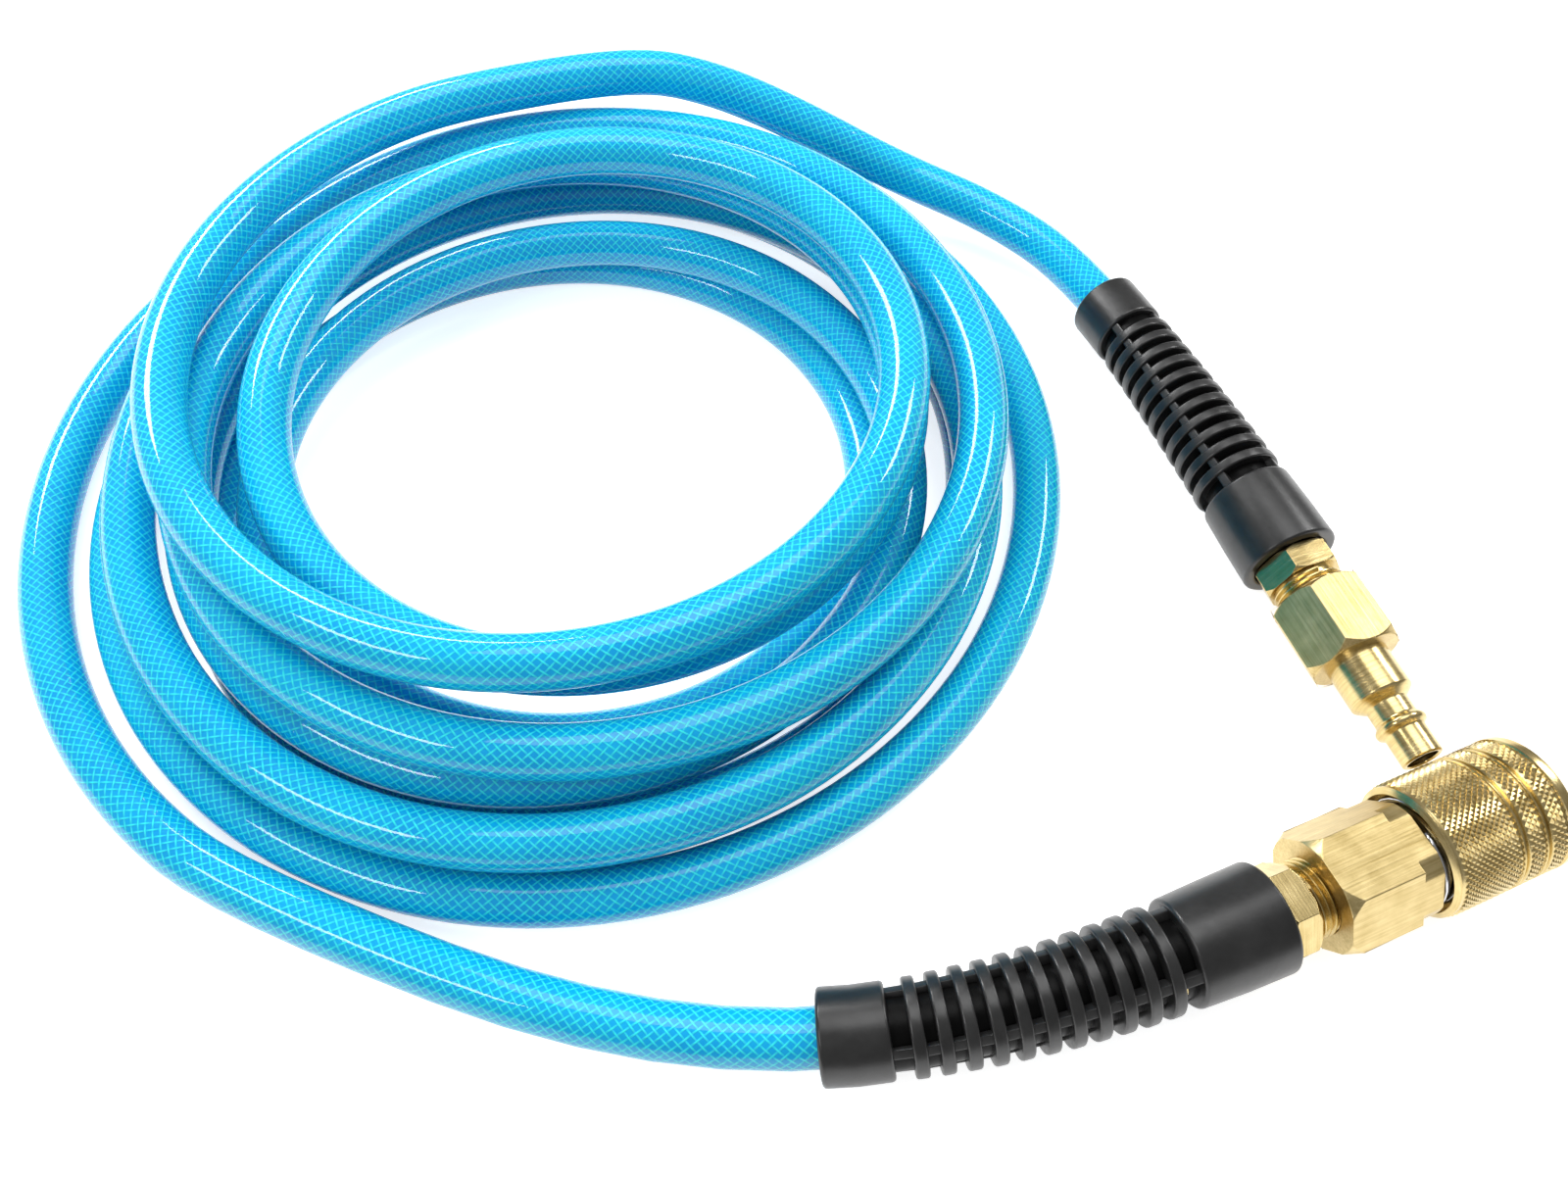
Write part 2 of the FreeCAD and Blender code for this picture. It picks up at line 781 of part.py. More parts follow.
for node, line, start, heading, rim, turn in (
        ("coupler", coupler_wire, lead_in, in_heading * -1, coupler_rim, coupler_heading),
        ("plug", plug_wire, lead_out, out_heading, plug_rim, plug_heading)):
    tail = swept(line, start, heading, hose_od)
    area = hose_sides * (hose_od / 2) ** 2 * math.tan(math.pi / hose_sides)
    print(node, "tail volume over section by length", round(tail.Volume / (area * line.Length), 4))
    tail = tail.cut(set_in_place(spigot(), rim, turn))
    save(tail, "hose_tail_" + node)
    save(set_in_place(stem(), rim, turn), node + "_stem")
    save(set_in_place(ferrule(), rim, turn), node + "_ferrule")
    save(bend_restrictor(line, rim, turn), node + "_bend_restrictor")

pieces = {
    "coupler_hex": coupler_hex(),
    "coupler_valve_guide": valve_guide(),
    "coupler_barrel": coupler_barrel(),
    "coupler_socket_seal": socket_seal(),
    "coupler_valve_poppet": valve_poppet(),
    "coupler_valve_spring": valve_spring(),
    "coupler_sleeve": sleeve(),
    "coupler_sleeve_spring": sleeve_spring(),
    "coupler_snap_ring": snap_ring(),
}
for k, direction in enumerate(ball_directions()):
    pieces["coupler_ball_" + str(k + 1)] = locking_ball(direction)
for node, solid in pieces.items():
    save(set_in_place(solid, coupler_rim, coupler_heading), node)
save(set_in_place(plug(), plug_rim, plug_heading), "plug_nipple")

# least gap of the hose to itself, on points 2 mm apart
spots = []
run = 0.0
for line in (coupler_wire, wire, plug_wire):
    count = int(line.Length / 2.0)
    stretch = line.discretize(Number=count)
    if line is coupler_wire:
        stretch = stretch[::-1]
    for spot in stretch:
        spots.append((run, spot))
        run += line.Length / count
near = []
for k in range(len(spots)):
    for j in range(k + 20, len(spots)):
        gap = spots[k][1].distanceToPoint(spots[j][1]) - hose_od
        if gap < 1.5:
            near.append((gap, k, j))
near.sort(key=lambda item: item[0])
for gap, k, j in near[:3]:
    print("least gap", round(gap, 2), "at", [round(c) for c in spots[k][1]], k, j)
for name, points in (("coupler stretch", coupler_points), ("plug stretch", plug_points)):
    print(name, "runs", [round((b - a).Length, 1) for a, b in zip(points, points[1:])])
print("coil length", round(wire.Length), "stretches", round(coupler_wire.Length), round(plug_wire.Length))
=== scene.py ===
import bpy
import math
from mathutils import Matrix, Vector


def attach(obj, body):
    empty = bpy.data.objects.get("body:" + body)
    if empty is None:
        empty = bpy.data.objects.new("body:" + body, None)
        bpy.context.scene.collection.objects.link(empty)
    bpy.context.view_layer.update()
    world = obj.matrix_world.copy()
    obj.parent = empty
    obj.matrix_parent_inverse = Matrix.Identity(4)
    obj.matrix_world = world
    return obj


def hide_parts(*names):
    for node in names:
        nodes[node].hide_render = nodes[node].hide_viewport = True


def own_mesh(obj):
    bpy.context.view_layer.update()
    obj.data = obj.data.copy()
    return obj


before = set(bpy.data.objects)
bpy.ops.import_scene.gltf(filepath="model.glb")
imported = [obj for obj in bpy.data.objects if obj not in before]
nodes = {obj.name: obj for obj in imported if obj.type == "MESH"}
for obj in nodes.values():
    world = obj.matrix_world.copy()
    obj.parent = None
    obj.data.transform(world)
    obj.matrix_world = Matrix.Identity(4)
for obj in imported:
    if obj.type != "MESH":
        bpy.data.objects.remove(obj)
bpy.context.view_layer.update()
mm = 0.001
fineSides = 96                          # sides of the turned pieces that show most
print("frame loaded:", len(nodes), "solids")


# small tools of the bench

def letGo():
    if bpy.context.object and bpy.context.object.mode != "OBJECT":
        bpy.ops.object.mode_set(mode="OBJECT")
    bpy.ops.object.select_all(action="DESELECT")
    bpy.context.tool_settings.mesh_select_mode = (True, False, False)


def pick(*objs):
    letGo()
    for obj in objs:
        obj.select_set(True)
    bpy.context.view_layer.objects.active = objs[0]
    return objs[0]


def settle(obj):
    # its place goes into its mesh
    pick(obj)
    bpy.ops.object.transform_apply(location=True, rotation=True, scale=True)


def copyOf(obj, name):
    twin = obj.copy()
    twin.data = obj.data.copy()
    twin.name = name
    bpy.context.scene.collection.objects.link(twin)
    return twin


def joinAll(objs, name):
    pick(*objs)
    bpy.ops.object.join()
    made = bpy.context.object
    made.name = name
    return made


def finishWith(obj, kind, **settings):
    # adds a modifier and applies it
    pick(obj)
    changed = obj.modifiers.new(kind.lower(), kind)
    for key, value in settings.items():
        setattr(changed, key, value)
    bpy.ops.object.modifier_apply(modifier=changed.name)


def carve(obj, tool, operation="DIFFERENCE"):
    finishWith(obj, "BOOLEAN", operation=operation, object=tool, solver="EXACT")
    bpy.data.objects.remove(tool)


def breakEdges(obj, width, segments=2, angle=28):
    finishWith(obj, "BEVEL", width=width * mm, segments=segments, limit_method="ANGLE",
               angle_limit=math.radians(angle), use_clamp_overlap=False)


def smooth(obj, angle=32, weighted=True):
    pick(obj)
    bpy.ops.object.shade_smooth_by_angle(angle=math.radians(angle))
    if weighted:
        finishWith(obj, "WEIGHTED_NORMAL", keep_sharp=True)


def lathe(name, profile, sides=72, closed=True):
    # one ring after another along X, from (station, radius) corners in millimetres
    letGo()
    station, radius = profile[0]
    bpy.ops.mesh.primitive_circle_add(vertices=sides, radius=radius * mm, location=(station * mm, 0, 0),
                                      rotation=(0, math.radians(90), 0))
    obj = bpy.context.object
    obj.name = name
    settle(obj)
    bpy.ops.object.mode_set(mode="EDIT")
    bpy.ops.mesh.select_all(action="SELECT")
    for nextStation, nextRadius in profile[1:] + (profile[:1] if closed else []):
        step = ((nextStation - station) * mm, 0, 0)
        bpy.ops.mesh.extrude_region_move(TRANSFORM_OT_translate={"value": step})
        grow = nextRadius / radius
        bpy.ops.transform.resize(value=(1, grow, grow), center_override=(nextStation * mm, 0, 0))
        station, radius = nextStation, nextRadius
    bpy.ops.mesh.select_all(action="SELECT")
    bpy.ops.mesh.remove_doubles(threshold=1e-6)
    if not closed:
        bpy.ops.mesh.select_all(action="DESELECT")
        bpy.ops.mesh.select_non_manifold()
        bpy.ops.mesh.fill_holes(sides=0)
        bpy.ops.mesh.select_all(action="SELECT")
    bpy.ops.mesh.normals_make_consistent(inside=False)
    bpy.ops.object.mode_set(mode="OBJECT")
    return obj


def cornerOf(acrossFlats):
    # from a hexagon's middle to its corner
    return acrossFlats / 2 / math.cos(math.radians(30))


def hexBar(name, start, end, acrossFlats):
    letGo()
    bpy.ops.mesh.primitive_cylinder_add(vertices=6, radius=cornerOf(acrossFlats) * mm, depth=(end - start) * mm,
                                        location=((start + end) / 2 * mm, 0, 0),
                                        rotation=(0, math.radians(90), 0))
    obj = bpy.context.object
    obj.name = name
    settle(obj)
    return obj


def windRound(name, start, end, pitch, radius, section, steps=32):
    # a closed section, a list of (along, out) corners, wound round X
    letGo()
    bpy.ops.mesh.primitive_circle_add(vertices=len(section), radius=mm, location=(0, 0, 0),
                                      rotation=(math.radians(90), 0, 0))
    obj = bpy.context.object
    obj.name = name
    settle(obj)
    for corner, (along, out) in zip(obj.data.vertices, section):
        corner.co = ((start + along) * mm, 0, (radius + out) * mm)
    turns = (end - start) / pitch
    stepsInAll = int(steps * turns)
    finishWith(obj, "SCREW", axis="X", angle=2 * math.pi * turns, screw_offset=(end - start) * mm,
               iterations=1, steps=stepsInAll, render_steps=stepsInAll, use_smooth_shade=True)
    pick(obj)
    bpy.ops.object.mode_set(mode="EDIT")
    bpy.ops.mesh.select_all(action="DESELECT")
    bpy.ops.mesh.select_non_manifold()
    bpy.ops.mesh.fill_holes(sides=0)
    bpy.ops.mesh.select_all(action="SELECT")
    bpy.ops.mesh.normals_make_consistent(inside=False)
    bpy.ops.object.mode_set(mode="OBJECT")
    return obj


# materials

def addNode(tree, kind, settings=None, **inputs):
    made = tree.nodes.new(kind)
    for key, value in (settings or {}).items():
        setattr(made, key, value)
    for key, value in inputs.items():
        socket = made.inputs[key.replace("_", " ")]
        if isinstance(value, bpy.types.NodeSocket):
            tree.links.new(value, socket)
        else:
            socket.default_value = value
    return made


def calc(tree, operation, *values):
    made = tree.nodes.new("ShaderNodeMath")
    made.operation = operation
    for socket, value in zip(made.inputs, values):
        if isinstance(value, bpy.types.NodeSocket):
            tree.links.new(value, socket)
        else:
            socket.default_value = value
    return made.outputs[0]


def ramp(tree, value, stops):
    made = addNode(tree, "ShaderNodeValToRGB", Fac=value)
    points = made.color_ramp.elements
    while len(points) < len(stops):
        points.new(0.5)
    for point, (place, colour) in zip(points, stops):
        point.position = place
        point.color = (*colour, 1)
    return made.outputs["Color"]


def newMaterial(name, **shaderInputs):
    made = bpy.data.materials.new(name)
    made.use_nodes = True
    tree = made.node_tree
    shader = tree.nodes["Principled BSDF"]
    for key, value in shaderInputs.items():
        shader.inputs[key.replace("_", " ")].default_value = value
    return made, tree, shader


def noiseOn(tree, where, scale, detail=3.0, roughness=0.55):
    made = addNode(tree, "ShaderNodeTexNoise", Vector=where, Scale=scale, Detail=detail, Roughness=roughness)
    return made.outputs["Fac"]


def turnedSpace(tree, heading, stretch=(1, 1, 1)):
    # object space turned so that X runs along the fitting
    space = tree.nodes.new("ShaderNodeTexCoord").outputs["Object"]
    asPoint = {"vector_type": "POINT"}
    turned = addNode(tree, "ShaderNodeMapping", asPoint, Vector=space, Rotation=(0, 0, math.radians(-heading)))
    stretched = addNode(tree, "ShaderNodeMapping", asPoint, Vector=turned.outputs["Vector"], Scale=stretch)
    return stretched.outputs["Vector"]


def paint(obj, material):
    obj.data.materials.clear()
    obj.data.materials.append(material)


# camera

camera = {"place": (0.0119, -0.1652, 0.2255), "tilt": 33.0, "lens": 30.0, "sensor": 36, "nearest": 0.005}

bpy.ops.object.camera_add(location=camera["place"], rotation=(math.radians(camera["tilt"]), 0, 0))
cameraObj = bpy.context.object
cameraObj.data.lens = camera["lens"]
cameraObj.data.sensor_width = camera["sensor"]
cameraObj.data.clip_start = camera["nearest"]
bpy.context.scene.camera = cameraObj


# the hose's route, in metres

coil = {
    "middle": (-0.0328, 0.0068),
    "firstAngle": -109.0,
    # turns wound, radius, shift of the turn's centre
    "shape": [
        (0.00, 0.1100, -0.003, 0.006), (0.70, 0.0980, 0.000, 0.004), (1.15, 0.0960, 0.000, 0.003),
        (2.95, 0.0570, 0.000, -0.006), (4.70, 0.0835, 0.001, -0.002), (5.25, 0.0890, 0.001, -0.0005),
        (6.00, 0.0790, 0.002, 0.005), (7.20, 0.0570, 0.003, 0.002), (8.41, 0.0805, -0.001, 0.011),
    ],
    "samples": 9,                       # points that the shape is averaged over
    "climbs": (2.95, 5.25, 7.20),       # turns at which it goes up a layer
    "climbTurns": 0.5,
    "layer": 0.0105,
    "pointsPerTurn": 24,
}
hose = {
    "diameter": 0.010, "sides": 28, "pathSteps": 6,
    "threads": 17, "threadPitch": 2.0 * mm,
    "threadHalf": (0.17, 0.07),         # where a thread's edge starts and ends, as a share of its room
    "threadLift": 0.7, "weaveLift": 0.3,
}
# the free stretches: points, and how far the end of the coil runs straight on
leadIn = {"points": [(0.091595, -0.092569, 0.0122), (0.054959, -0.108120, 0.0122)], "straight": 0.0668}
leadOut = {
    "points": [
        (-0.0048, 0.1033, 0.0315), (0.0142, 0.0998, 0.0245), (0.0392, 0.0943, 0.0130), (0.0627, 0.0848, 0.0085),
        (0.080921, 0.067364, 0.007225), (0.099552, 0.020066, 0.0098), (0.112509, -0.017565, 0.0098),
    ],
    "straight": 0.030,
}

couplerEnd = {"rim": (0.0927, -0.0921, 0.0122), "heading": 23.0}
plugEnd = {"rim": (0.1129, -0.0187, 0.0098), "heading": -71.0}


def shapeAt(turn):
    turn = min(max(turn, 0.0), coil["shape"][-1][0])
    for begin, finish in zip(coil["shape"], coil["shape"][1:]):
        if turn <= finish[0]:
            share = (turn - begin[0]) / (finish[0] - begin[0])
            return [a + (b - a) * share for a, b in zip(begin[1:], finish[1:])]


def coilPoint(turn, spread=1.0):
    half = coil["samples"] // 2
    near = [shapeAt(turn + coil["climbTurns"] / 2 * (k / half - 1)) for k in range(coil["samples"])]
    radius, shiftX, shiftY = [sum(column) / len(near) for column in zip(*near)]
    height = hose["diameter"] / 2
    for climb in coil["climbs"]:
        share = min(max((turn - climb) / coil["climbTurns"] + 0.5, 0.0), 1.0)
        height += coil["layer"] * share * share * (3 - 2 * share)
    angle = math.radians(coil["firstAngle"] - 360 * turn)
    return Vector((coil["middle"][0] + shiftX + radius * spread * math.cos(angle),
                   coil["middle"][1] + shiftY + radius * spread * math.sin(angle), height))


lastTurn = coil["shape"][-1][0]
nudge = 0.001                           # of a turn
coilStart, coilEnd = coilPoint(0), coilPoint(lastTurn)
startHeading = (coilPoint(nudge) - coilStart).normalized()
endHeading = (coilEnd - coilPoint(lastTurn - nudge)).normalized()
turnPoints = round(lastTurn * coil["pointsPerTurn"])
stepTurn = lastTurn / turnPoints

routePoints = leadIn["points"] + [coilStart - startHeading * leadIn["straight"]]
for k in range(turnPoints):
    # these stand out a little, because the curve touches the middles of their polygon's sides
    routePoints.append(coilPoint((k + 0.5) * stepTurn, 1 / math.cos(math.pi * stepTurn)))
routePoints += [coilEnd + endHeading * leadOut["straight"]] + leadOut["points"]

routeCurve = bpy.data.curves.new("hoseRoute", "CURVE")
routeCurve.dimensions = "3D"
spline = routeCurve.splines.new("NURBS")
spline.points.add(len(routePoints) - 1)
for point, place in zip(spline.points, routePoints):
    point.co = (*place, 1)
spline.order_u = 3
spline.use_endpoint_u = True
spline.resolution_u = hose["pathSteps"]
routeCurve.resolution_u = hose["pathSteps"]
routeObj = bpy.data.objects.new("hoseRoute", routeCurve)
bpy.context.scene.collection.objects.link(routeObj)
bpy.context.view_layer.update()
routeLine = bpy.data.meshes.new_from_object(routeObj)
path = [v.co.copy() for v in routeLine.vertices]
travelled = [0.0]
for a, b in zip(path, path[1:]):
    travelled.append(travelled[-1] + (b - a).length)
print("hose route:", len(routePoints), "points,", round(travelled[-1], 3), "m")


def hoseMaterial():
    made, tree, shader = newMaterial(
        "braidedHose", Roughness=0.5, IOR=1.4, Specular_IOR_Level=0.12,
        Coat_Weight=1.0, Coat_Roughness=0.02, Coat_IOR=1.42,
        Subsurface_Weight=0.3, Subsurface_Scale=0.004, Subsurface_Radius=(0.1, 0.6, 1.0))
    along = addNode(tree, "ShaderNodeSeparateXYZ",
                    Vector=addNode(tree, "ShaderNodeUVMap", {"uv_map": "alongHose"}).outputs["UV"])
    # threads of the two directions, counted one by one
    count = calc(tree, "MULTIPLY", along.outputs["Y"], float(hose["threads"]))
    reach = calc(tree, "DIVIDE", along.outputs["X"], hose["threadPitch"])
    ways = [calc(tree, "ADD", count, reach), calc(tree, "SUBTRACT", count, reach)]
    weave = calc(tree, "MULTIPLY", *[calc(tree, "SINE", calc(tree, "MULTIPLY", way, math.pi)) for way in ways])
    threads = []
    for way, over in zip(ways, (hose["weaveLift"], -hose["weaveLift"])):
        off = calc(tree, "ABSOLUTE", calc(tree, "SUBTRACT", calc(tree, "FRACT", way), 0.5))
        strand = addNode(tree, "ShaderNodeMapRange", {"interpolation_type": "SMOOTHSTEP"}, Value=off)
        strand.inputs["From Min"].default_value = hose["threadHalf"][0]
        strand.inputs["From Max"].default_value = hose["threadHalf"][1]
        lift = calc(tree, "MULTIPLY_ADD", weave, over, hose["threadLift"])
        threads.append(calc(tree, "MULTIPLY", strand.outputs["Result"], lift))
    braid = calc(tree, "MAXIMUM", *threads)
    space = tree.nodes.new("ShaderNodeTexCoord").outputs["Object"]
    blues = [(0.35, (0.000, 0.360, 0.780)), (0.65, (0.000, 0.450, 0.850))]
    tint = ramp(tree, noiseOn(tree, space, 55.0), blues)
    colour = addNode(tree, "ShaderNodeMix", {"data_type": "RGBA"})
    tree.links.new(braid, colour.inputs[0])
    tree.links.new(tint, colour.inputs[6])
    colour.inputs[7].default_value = (0.04, 0.90, 0.93, 1)
    tree.links.new(colour.outputs[2], shader.inputs["Base Color"])
    bump = addNode(tree, "ShaderNodeBump", Height=braid, Strength=0.6, Distance=0.0003)
    tree.links.new(bump.outputs["Normal"], shader.inputs["Normal"])
    return made


def hoseTube():
    # the route gets its thickness, becomes a mesh and keeps the distance along it as a map
    tubeObj = routeObj.copy()
    tubeObj.data = routeCurve.copy()
    tubeObj.name = "hoseTube"
    bpy.context.scene.collection.objects.link(tubeObj)
    tubeObj.data.bevel_depth = hose["diameter"] / 2
    tubeObj.data.bevel_resolution = hose["sides"] // 2 - 2
    pick(tubeObj)
    bpy.ops.object.convert(target="MESH")
    tube = bpy.context.object
    mesh = tube.data
    sides = len(mesh.vertices) // len(path)
    print("hose tube:", len(mesh.vertices), "points,", sides, "round,", len(path), "along")
    while mesh.uv_layers:
        mesh.uv_layers.remove(mesh.uv_layers[0])
    layer = mesh.uv_layers.new(name="alongHose")
    for face in mesh.polygons:
        spots = [divmod(mesh.loops[k].vertex_index, sides) for k in face.loop_indices]
        wraps = {0, sides - 1} <= {side for ring, side in spots}
        for k, (ring, side) in zip(face.loop_indices, spots):
            if wraps and side == 0:
                side = sides
            layer.data[k].uv = (travelled[ring], side / sides)
    bpy.ops.object.mode_set(mode="EDIT")
    bpy.ops.mesh.select_all(action="DESELECT")
    bpy.ops.mesh.select_non_manifold()
    bpy.ops.mesh.fill_holes(sides=0)
    bpy.ops.mesh.select_all(action="SELECT")
    bpy.ops.mesh.normals_make_consistent(inside=False)
    bpy.ops.object.mode_set(mode="OBJECT")
    paint(tube, hoseMaterial())
    smooth(tube, 60, weighted=False)
    return tube


hosePiece = hoseTube()
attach(hosePiece, "hose")
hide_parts("hose_coil", "hose_tail_coupler", "hose_tail_plug")
print("hose done")


# bend restrictors, drawn straight from the wide rim and then laid along the hose

guard = {
    "length": 78.0, "wideLength": 17.5, "narrowLength": 11.5,
    "wideRadius": 9.8, "wideTaper": 0.15, "ribWideRadius": 9.3, "narrowRadius": 7.9,
    "bore": 5.25, "mouth": 7.3, "mouthDepth": 2.0,
    "coreRadius": 6.4, "coreSteps": 24, "seatRise": 0.75, "seatEnd": 22.5,
    "ribs": 11, "ribWidth": 2.2, "ribSides": 64,
    "bars": 4, "barWidth": 1.8, "barDrop": 0.6, "barCuts": 23,
    "lap": 0.5,                         # how far its parts reach into each other
    "edge": 0.7, "ribEdge": 0.45, "barEdge": 0.3, "edgeAngle": 50,
    "overhang": 1.2, "guideSpare": 12,  # past the hose's end, and the bending line past the guard
}


def blackMaterial(name, lightness):
    made, tree, shader = newMaterial(name, Roughness=0.36, IOR=1.5, Specular_IOR_Level=0.6 * lightness)
    space = tree.nodes.new("ShaderNodeTexCoord").outputs["Object"]
    cloud = noiseOn(tree, space, 160.0, 4.0)
    greys = [(0.35, [0.010 * lightness] * 3), (0.7, [0.022 * lightness] * 3)]
    tree.links.new(ramp(tree, cloud, greys), shader.inputs["Base Color"])
    rub = noiseOn(tree, space, 900.0, 5.0, 0.65)
    tree.links.new(calc(tree, "MULTIPLY_ADD", rub, 0.22, 0.22), shader.inputs["Roughness"])
    bump = addNode(tree, "ShaderNodeBump", Height=rub, Strength=0.18, Distance=0.0001)
    tree.links.new(bump.outputs["Normal"], shader.inputs["Normal"])
    return made


def guardBar(ribsEnd, angle):
    g = guard
    low, high = g["coreRadius"] - 0.3, g["narrowRadius"] - g["barDrop"]
    middle = (low + high) / 2 * mm
    letGo()
    bpy.ops.mesh.primitive_cube_add(size=mm, location=((g["wideLength"] + ribsEnd) / 2 * mm, 0, middle),
                                    scale=(ribsEnd - g["wideLength"] + 3 * g["lap"], g["barWidth"], high - low))
    bar = bpy.context.object
    settle(bar)
    bpy.context.tool_settings.mesh_select_mode = (False, True, False)
    bpy.ops.object.mode_set(mode="EDIT")
    bpy.ops.mesh.select_all(action="DESELECT")
    bpy.ops.object.mode_set(mode="OBJECT")
    # only its four long edges are cut
    for edge in bar.data.edges:
        a, b = [bar.data.vertices[v].co for v in edge.vertices]
        edge.select = abs(a.x - b.x) > 0.01
    bpy.ops.object.mode_set(mode="EDIT")
    bpy.ops.mesh.subdivide(number_cuts=g["barCuts"])
    bpy.ops.object.mode_set(mode="OBJECT")
    # the bar rises with the ribs towards the wide collar
    rise = (g["ribWideRadius"] - g["narrowRadius"]) * mm
    for v in bar.data.vertices:
        if v.co.z > middle:
            v.co.z += rise * (1 - (v.co.x / mm - g["wideLength"]) / (ribsEnd - g["wideLength"]))
    breakEdges(bar, g["barEdge"], 2, g["edgeAngle"])
    bar.rotation_euler = (math.radians(angle), 0, 0)
    settle(bar)
    return bar


def straightGuard():
    g = guard
    ribsEnd = g["length"] - g["narrowLength"]
    wide = lathe("guardWide", [(0, g["mouth"]), (0, g["wideRadius"]),
                               (g["wideLength"] / 2, g["wideRadius"] - g["wideTaper"]),
                               (g["wideLength"], g["ribWideRadius"]), (g["wideLength"], g["bore"]),
                               (g["mouthDepth"], g["bore"]), (g["mouthDepth"], g["mouth"])])
    narrow = lathe("guardNarrow", [(ribsEnd, g["bore"]), (ribsEnd, g["narrowRadius"]),
                                   (ribsEnd + g["narrowLength"] / 2, g["narrowRadius"]),
                                   (g["length"], g["narrowRadius"]), (g["length"], g["bore"])])
    for collar in (wide, narrow):
        breakEdges(collar, g["edge"], 3, g["edgeAngle"])
    coreLength = ribsEnd - g["wideLength"] + 2 * g["lap"]
    rings = [g["wideLength"] - g["lap"] + k * coreLength / g["coreSteps"] for k in range(g["coreSteps"] + 1)]
    # the core is wider over the end of the crimped ring
    outer = [(x, g["coreRadius"] + (g["seatRise"] if x < g["seatEnd"] else 0)) for x in rings]
    inner = [(x, g["bore"] + (g["seatRise"] + g["lap"] if x < g["seatEnd"] - g["lap"] else 0)) for x in rings[::-1]]
    core = lathe("guardCore", outer + inner)
    pieces = [wide, narrow, core]
    pitch = (ribsEnd - g["wideLength"]) / (g["ribs"] + 1)
    taper = (g["ribWideRadius"] - g["narrowRadius"]) / (g["ribs"] + 1)
    half, foot, widest = g["ribWidth"] / 2, g["bore"] + g["lap"], g["ribWideRadius"] - taper
    firstRib = lathe("guardRib", [(-half, foot), (-half, widest), (half, widest), (half, foot)], g["ribSides"])
    breakEdges(firstRib, g["ribEdge"], 3, g["edgeAngle"])
    for k in range(g["ribs"]):
        size = (g["ribWideRadius"] - taper * (k + 1)) / widest
        rib = copyOf(firstRib, "guardRib" + str(k))
        rib.location.x = (g["wideLength"] + pitch * (k + 1)) * mm
        rib.scale = (1, size, size)
        settle(rib)
        pieces.append(rib)
    bpy.data.objects.remove(firstRib)
    for k in range(g["bars"]):
        pieces.append(guardBar(ribsEnd, 45 + 360 / g["bars"] * k))
    # the core, seen through the windows between the ribs, gets a much darker black: painted shade in the recesses
    for piece in pieces:
        paint(piece, blacks["paintedShadeCore" if piece is core else "skin"])
    made = joinAll(pieces, "guard")
    smooth(made, 35)
    return made


def layAlong(obj, fromEnd, reach, overhang):
    # bends a straight piece along the hose, from one of its ends inwards
    line = path if fromEnd == "start" else path[::-1]
    lead = line[0] + (line[0] - line[1]).normalized() * overhang * mm
    spots, passed = [lead], overhang * mm
    for a, b in zip(line, line[1:]):
        spots.append(a)
        passed += (b - a).length
        if passed > reach * mm:
            break
    guide = bpy.data.curves.new("guide", "CURVE")
    guide.dimensions = "3D"
    run = guide.splines.new("POLY")
    run.points.add(len(spots) - 1)
    for point, place in zip(run.points, spots):
        point.co = (*place, 1)
    guideObj = bpy.data.objects.new("guide", guide)
    bpy.context.scene.collection.objects.link(guideObj)
    bpy.context.view_layer.update()
    finishWith(obj, "CURVE", object=guideObj, deform_axis="POS_X")
    bpy.data.objects.remove(guideObj)


# the second, darker black is painted shade for the core between the ribs; the plastic is the same all through
blacks = {"skin": blackMaterial("restrictorBlack", 1.0), "paintedShadeCore": blackMaterial("restrictorPaintedShade", 0.15)}
guardPiece = straightGuard()
for end, routeEnd in (("coupler", "start"), ("plug", "end")):
    bent = copyOf(guardPiece, end + "Guard")
    layAlong(bent, routeEnd, guard["length"] + guard["guideSpare"], guard["overhang"])
    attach(bent, "hose")
    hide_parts(end + "_bend_restrictor")
bpy.data.objects.remove(guardPiece)
print("bend restrictors done")


# brass

def setOnFitting(obj, fitting):
    obj.matrix_world = Matrix.Translation(fitting["rim"]) @ Matrix.Rotation(math.radians(fitting["heading"]), 4, "Z")
    settle(obj)


def brassMaterial(name, heading, grain, colours, roughness, bumpStrength):
    # grain: how close the fine lines lie, along and across the fitting
    made, tree, shader = newMaterial(name, Metallic=1.0, Roughness=roughness)
    lines = noiseOn(tree, turnedSpace(tree, heading, grain), 1.0, 4.0, 0.6)
    cloud = noiseOn(tree, turnedSpace(tree, heading, (1, 1, 1)), 240.0, 3.0)
    mixed = calc(tree, "MULTIPLY_ADD", lines, 0.55, calc(tree, "MULTIPLY", cloud, 0.45))
    tree.links.new(ramp(tree, mixed, [(0.3, colours[0]), (0.7, colours[1])]), shader.inputs["Base Color"])
    tree.links.new(calc(tree, "MULTIPLY_ADD", mixed, 0.25, roughness - 0.12), shader.inputs["Roughness"])
    bump = addNode(tree, "ShaderNodeBump", Height=lines, Strength=bumpStrength, Distance=0.0001)
    tree.links.new(bump.outputs["Normal"], shader.inputs["Normal"])
    return made


brassTones = [(0.44, 0.32, 0.115), (0.78, 0.63, 0.32)]
brass = {}
for end, fitting in (("coupler", couplerEnd), ("plug", plugEnd)):
    heading = fitting["heading"]
    brass[end] = {
        "drawn": brassMaterial(end + "DrawnBrass", heading, (60, 2600, 2600), brassTones, 0.34, 0.35),
        "turned": brassMaterial(end + "TurnedBrass", heading, (3000, 90, 90), brassTones, 0.24, 0.12),
    }


